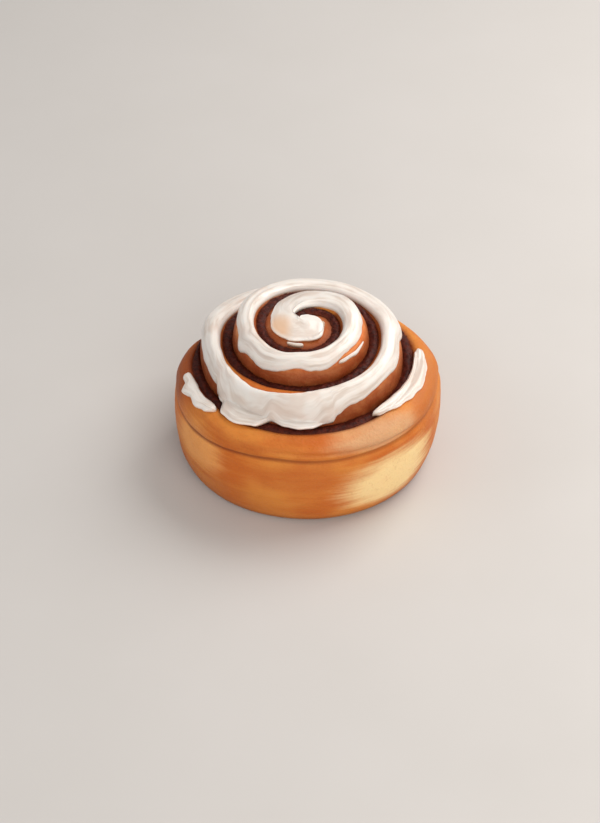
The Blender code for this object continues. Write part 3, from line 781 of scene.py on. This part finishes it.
def icing(name, edges, rims, end_taper, middle_thickness, material, seed):
    """One piece of icing along the strip between its edges, closed and rounded at its rims and ends."""
    start, end = edges[0][0], edges[-1][0]
    middle_turn = min(0.5 * (start + end), STRIP_SIZES["Last turn"])
    radius = STRIP_SIZES["First radius"] + STRIP_SIZES["Pitch"] * middle_turn
    turns = np.linspace(start, end, int((end - start) * 2.0 * math.pi * radius / ICING_SPACING))
    strip = Strip(STRIP_SIZES, turns[:, None])
    run = turns * turns * 0.5 * STRIP_SIZES["Pitch"] * 2.0 * math.pi
    inner, outer = edge_shares(edges, turns)
    for amount, length, row in EDGE_WOBBLES:
        outer = outer + amount * soft_noise(row, run / length, seed)
    start_taper, last_taper = end_taper
    ends = rounded((end - turns) / last_taper)
    if start_taper:
        ends = ends * rounded((turns - start) / start_taper)
    middle = 0.5 * (inner + outer)
    inner, outer = (mix(middle, edge, ends)[:, None] for edge in (inner, outer))
    low, high = step_at(strip, inner), step_at(strip, outer)
    share = 0.5 - 0.5 * np.cos(np.linspace(0.0, np.pi, ICING_COLUMNS))[None, :]
    inner_rim, outer_rim = (value[:, None] for value in rims(turns))
    rim = np.where(share < 0.5, inner_rim, outer_rim)
    body = (1.0 - rim * np.abs(2.0 * share - 1.0) ** RIM_POWER).clip(0.0) ** RIM_ROUNDING
    level = mix(ease(share, 0.0, LEVEL_SHARE), 1.0, inner_rim)
    tall, number, length = SWELLS
    swell = 1.0 + tall * level * soft_noise(share * number, run[:, None] / length, seed + 1)
    tall, number, length = SPOON_RIDGES
    wander = SPOON_WANDER * soft_noise(3.0, run[:, None] / length, seed + 2)
    spoon = tall * np.sin(2.0 * np.pi * (share * number + wander))
    tall, number, length = SPOON_GRAIN
    spoon = level * (spoon + tall * soft_noise(share * number, run[:, None] / length, seed + 3))
    thick = (swell + spoon / ICING) * body * mix(END_THICKNESS, 1.0, ends[:, None]) * middle_thickness
    lean = ICING_LEAN * outer_rim * share
    distance, height = icing_floor(strip, mix(low, high, share))
    height = height + ICING_LIFT * body
    over = strip.place(distance + thick * np.sin(lean), height + thick * np.cos(lean))
    back = np.linspace(1.0, 0.0, ICING_BASE_COLUMNS + 2)[None, 1:-1]
    distance, height = icing_floor(strip, mix(low, high, back))
    under = strip.place(distance, height - ICING_SINK)
    points = np.concatenate([np.stack(over, axis=-1), np.stack(under, axis=-1)], axis=1)
    flat = np.zeros_like(under[2])
    thickness = np.concatenate([thick / ICING, flat], axis=1)
    notes = {
        "thickness": thickness,
        "run": np.broadcast_to(run[:, None], thickness.shape),
        "across": np.concatenate([np.broadcast_to(share, thick.shape), flat], axis=1),
    }
    count = points.shape[1]
    index = np.arange(points.shape[0] * count).reshape(-1, count)
    after = np.roll(index, -1, axis=1)
    quads = np.stack([index[:-1], after[:-1], after[1:], index[1:]], axis=-1).reshape(-1, 4)
    faces = [*quads.tolist(), index[0].tolist(), index[-1][::-1].tolist()]
    mesh = bpy.data.meshes.new(name)
    mesh.from_pydata(points.reshape(-1, 3).tolist(), [], faces)
    for label, values in notes.items():
        note = mesh.attributes.new(label, "FLOAT", "POINT")
        note.data.foreach_set("value", values.ravel().astype(np.float32))
    mesh.materials.append(material)
    close_mesh(mesh)
    piece = bpy.data.objects.new(name, mesh)
    bpy.context.scene.collection.objects.link(piece)
    return piece


# Where the icing is thin and the dough shows through it
THIN_PLACE = (-12.5, -4.0, 61.0)
THIN_REACH = (8.0, 10.0, 6.0)
# The second colour is painted shade along the spoon marks
ICING_WHITE, ICING_SHADE_GREY, ICING_WARM = "E8E2DC", "CDBFB4", "DCCBC0"
# The second colour is a painted highlight along the icing's rims
THIN_TINT, RIM_HIGHLIGHT, RIM_TINT = "D9B08C", "F4EFEA", "DDBFA0"
RIM_SHARES = (0.03, 0.15)
RIM_THICKNESS = (0.1, 0.5)
EDGE_THICKNESS = (0.10, 0.45)
SPOON_STRETCH = (0.16 * MM, 16.0 * MM)
ICING_ROUGHNESS = (0.28, 0.42)
ICING_BUMP = 0.12

glaze = Finish(
    "sugar_icing", Subsurface_Weight=0.18, Subsurface_Scale=0.003, Subsurface_Radius=(1.0, 0.75, 0.6),
    Coat_Weight=0.25, Coat_Roughness=0.22)
run, across, thickness = (glaze.attribute(label) for label in ("run", "across", "thickness"))
marks = noise(glaze.vector([run * SPOON_STRETCH[0], across * SPOON_STRETCH[1], 0.0]), 3.0, 3.0, 0.55)
cloud = noise(glaze.place, 12.0, 2.0)
# Painted shade in the spoon marks and in soft clouds
colour = glaze.tint(ICING_WHITE, ICING_SHADE_GREY, ease(marks * 0.7 + cloud * 0.3, 0.42, 0.66))
colour = glaze.tint(colour, ICING_WARM, ease(cloud, 0.50, 0.72) * 0.6)
x, y, z = glaze.axes()
away = [(value - middle) / span for value, middle, span in zip((x, y, z), THIN_PLACE, THIN_REACH)]
thin = root(sum(share * share for share in away)) + (marks - 0.5) * 0.5
colour = glaze.tint(colour, THIN_TINT, (1.0 - ease(thin, 0.4, 1.1)) * 0.85)
# Painted highlight along the rounded rims
rim_highlight_share = 1.0 - ease(at_most(across, 1.0 - across), *RIM_SHARES)
colour = glaze.tint(colour, RIM_HIGHLIGHT, rim_highlight_share * ease(thickness, *RIM_THICKNESS) * 0.7)
colour = glaze.tint(colour, RIM_TINT, (1.0 - ease(thickness, *EDGE_THICKNESS)) * 0.6)
icing_material = glaze.done(colour, mix(*ICING_ROUGHNESS, marks), marks, ICING_BUMP)


def swirl_rims(turns):
    """How round the inner and the outer rim are: the icing closes up in the middle of the swirl."""
    return ease(turns, *CLOSING_TURNS), ease(turns, *CORE_TURNS)


def dab_rims(turns):
    """Both rims of a dab are round all along it."""
    return np.ones_like(turns), np.ones_like(turns)


# Name, edges, rims, turns that the ends take to round off, thickness and seed
ICING_PIECES = (
    ("icing_swirl", SWIRL_EDGES, swirl_rims, (0.0, 0.02), ICING, 3),
    ("icing_dab_right", RIGHT_DAB_EDGES, dab_rims, (0.010, 0.010), ICING, 21),
    ("icing_dab_left", LEFT_DAB_EDGES, dab_rims, (0.006, 0.006), ICING, 35),
    ("icing_fleck", CORE_FLECK_EDGES, dab_rims, (0.010, 0.010), FLECK, 47),
    ("icing_streak", RIGHT_STREAK_EDGES, dab_rims, (0.010, 0.010), FLECK, 53),
)
for name, edges, rims, end_taper, thickness, seed in ICING_PIECES:
    piece = icing(name, edges, rims, end_taper, thickness, icing_material, seed)
    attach(piece, "root")
    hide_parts(name)

# Table and light: a plain pale top, with a broad soft light from the upper right and weaker fill
# from the front and the left, as by a window.
FLOOR_RADIUS = 1.6
FLOOR_SIDES = 96
FLOOR_HEIGHT = -0.0002
TABLE_LIGHT, TABLE_DARK = "C8C5C3", "C2BFBC"
TABLE_GRAIN = 60.0
TABLE_ROUGHNESS = (0.5, 0.6)
TABLE_BUMP = 0.05
ROOM_COLOUR = "F4F1EC"
ROOM_STRENGTH = 0.50
# Name, place in metres, width, power and colour
LIGHTS = (
    ("window", (0.42, 0.30, 0.62), 0.55, 5.2, "FFFAF5"),
    ("front", (0.25, -0.75, 0.45), 0.7, 4.2, "FFFAF4"),
    ("left", (-0.70, -0.10, 0.40), 0.6, 0.9, "F2F5FF"),
)
LIT_POINT = (0.0, 0.0, 0.03)

floor_mesh = bpy.data.meshes.new("table")
angles = [2.0 * math.pi * side / FLOOR_SIDES for side in range(FLOOR_SIDES)]
around = [(FLOOR_RADIUS * math.cos(angle), FLOOR_RADIUS * math.sin(angle), FLOOR_HEIGHT) for angle in angles]
floor_mesh.from_pydata(around, [], [list(range(FLOOR_SIDES))])
table = bpy.data.objects.new("table", floor_mesh)
bpy.context.scene.collection.objects.link(table)
top = Finish("pale_table")
surface = noise(top.place, TABLE_GRAIN, 3.0)
colour = top.tint(TABLE_LIGHT, TABLE_DARK, surface)
floor_mesh.materials.append(top.done(colour, mix(*TABLE_ROUGHNESS, surface), surface, TABLE_BUMP))

world = bpy.data.worlds.new("room")
bpy.context.scene.world = world
world.use_nodes = True
room = world.node_tree.nodes["Background"]
room.inputs["Color"].default_value = paint(ROOM_COLOUR)
room.inputs["Strength"].default_value = ROOM_STRENGTH


def turn_to(thing, aim):
    """Turns a light or camera to face a point."""
    thing.rotation_euler = (Vector(aim) - thing.location).to_track_quat("-Z", "Y").to_euler()


for name, place, width, power, colour_code in LIGHTS:
    data = bpy.data.lights.new(name, "AREA")
    data.size, data.energy, data.color = width, power, paint(colour_code)[:3]
    light = bpy.data.objects.new(name, data)
    bpy.context.scene.collection.objects.link(light)
    light.location = place
    turn_to(light, LIT_POINT)
bpy.context.scene.view_settings.view_transform = "Standard"

# Camera: it looks down at the front of the roll as the picture does, from 0.7 m, and the lens and
# shift put the roll in the frame at the picture's own size and place.
CAMERA_ELEVATION = math.radians(42.5)
CAMERA_DISTANCE = 0.700
CAMERA_TARGET = (-0.0002, 0.0040, 0.026)
IMAGE_SIZE = (600.0, 823.0)
TARGET_PIXEL = (307.2, 383.5)
ROLL_PIXELS = 268.0
ROLL_WIDTH = 0.104
SENSOR_WIDTH = 36.0

data = bpy.data.cameras.new("camera")
data.sensor_width = SENSOR_WIDTH
data.lens = SENSOR_WIDTH * (ROLL_PIXELS / ROLL_WIDTH) * CAMERA_DISTANCE / IMAGE_SIZE[1]
data.shift_x = -(TARGET_PIXEL[0] - 0.5 * IMAGE_SIZE[0]) / IMAGE_SIZE[1]
data.shift_y = (TARGET_PIXEL[1] - 0.5 * IMAGE_SIZE[1]) / IMAGE_SIZE[1]
camera = bpy.data.objects.new("camera", data)
bpy.context.scene.collection.objects.link(camera)
camera.location = (CAMERA_TARGET[0], CAMERA_TARGET[1] - CAMERA_DISTANCE * math.cos(CAMERA_ELEVATION),
                   CAMERA_TARGET[2] + CAMERA_DISTANCE * math.sin(CAMERA_ELEVATION))
turn_to(camera, CAMERA_TARGET)
bpy.context.scene.camera = camera
